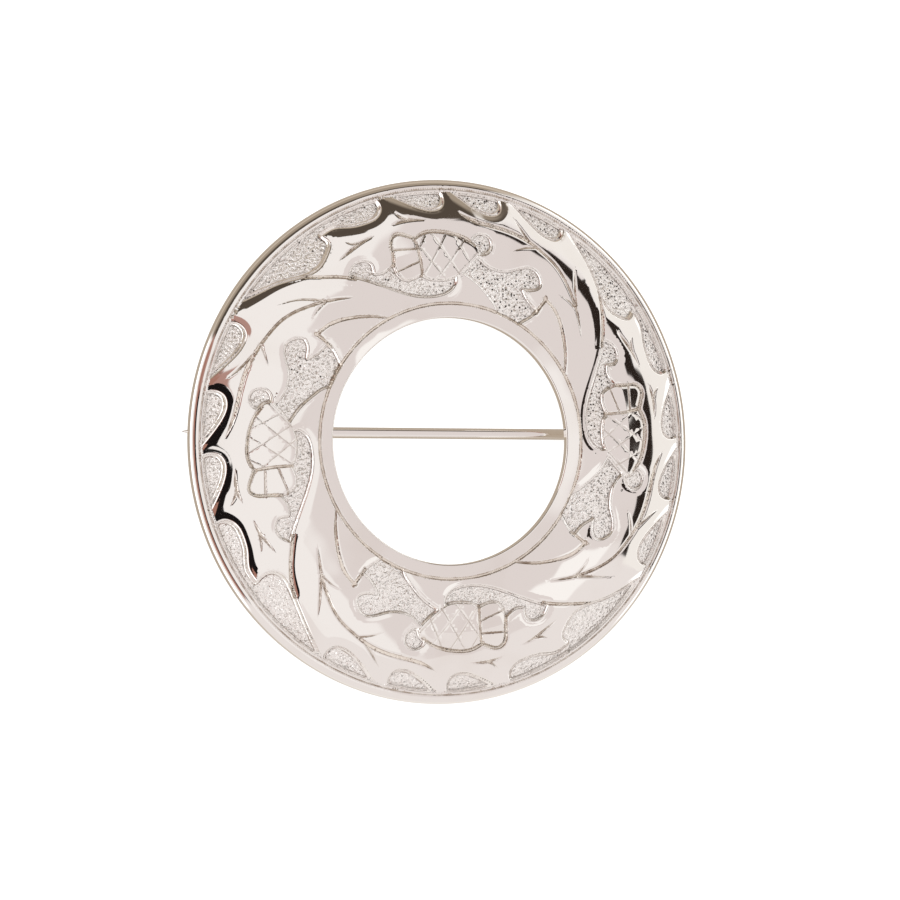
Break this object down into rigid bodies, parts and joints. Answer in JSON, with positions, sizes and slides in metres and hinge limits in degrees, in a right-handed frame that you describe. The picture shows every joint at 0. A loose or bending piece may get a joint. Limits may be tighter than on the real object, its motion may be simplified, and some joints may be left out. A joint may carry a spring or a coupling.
{
  "type": "thistle brooch",
  "caption": "Domed ring brooch with sunk thistle and leaf ornament, and a hinged pin across its open centre.",
  "frame": {"origin": "on the surface that the brooch lies on, under the ring's axis", "axes": "+Z out of the brooch's face, -X along the pin toward its point, +Y up as worn"},
  "size_m": [0.0755, 0.075, 0.0076],
  "materials": {
    "cast_silver": "polished sterling silver, punched grounds left bright and grainy",
    "silver_wire": "polished silver wire"
  },
  "bodies": {
    "ring_body": {"ring": "cast_silver", "hinge_rivet": "silver_wire"},
    "pin_body": {"pin": "silver_wire"}
  },
  "joints": [
    {"name": "pin_hinge", "type": "hinge", "parent": "ring_body", "child": "pin_body", "pos_m": [0.03, 0.0012, 0.0015], "axis": [0, -1, 0], "range_deg": [0, 110]}
  ]
}
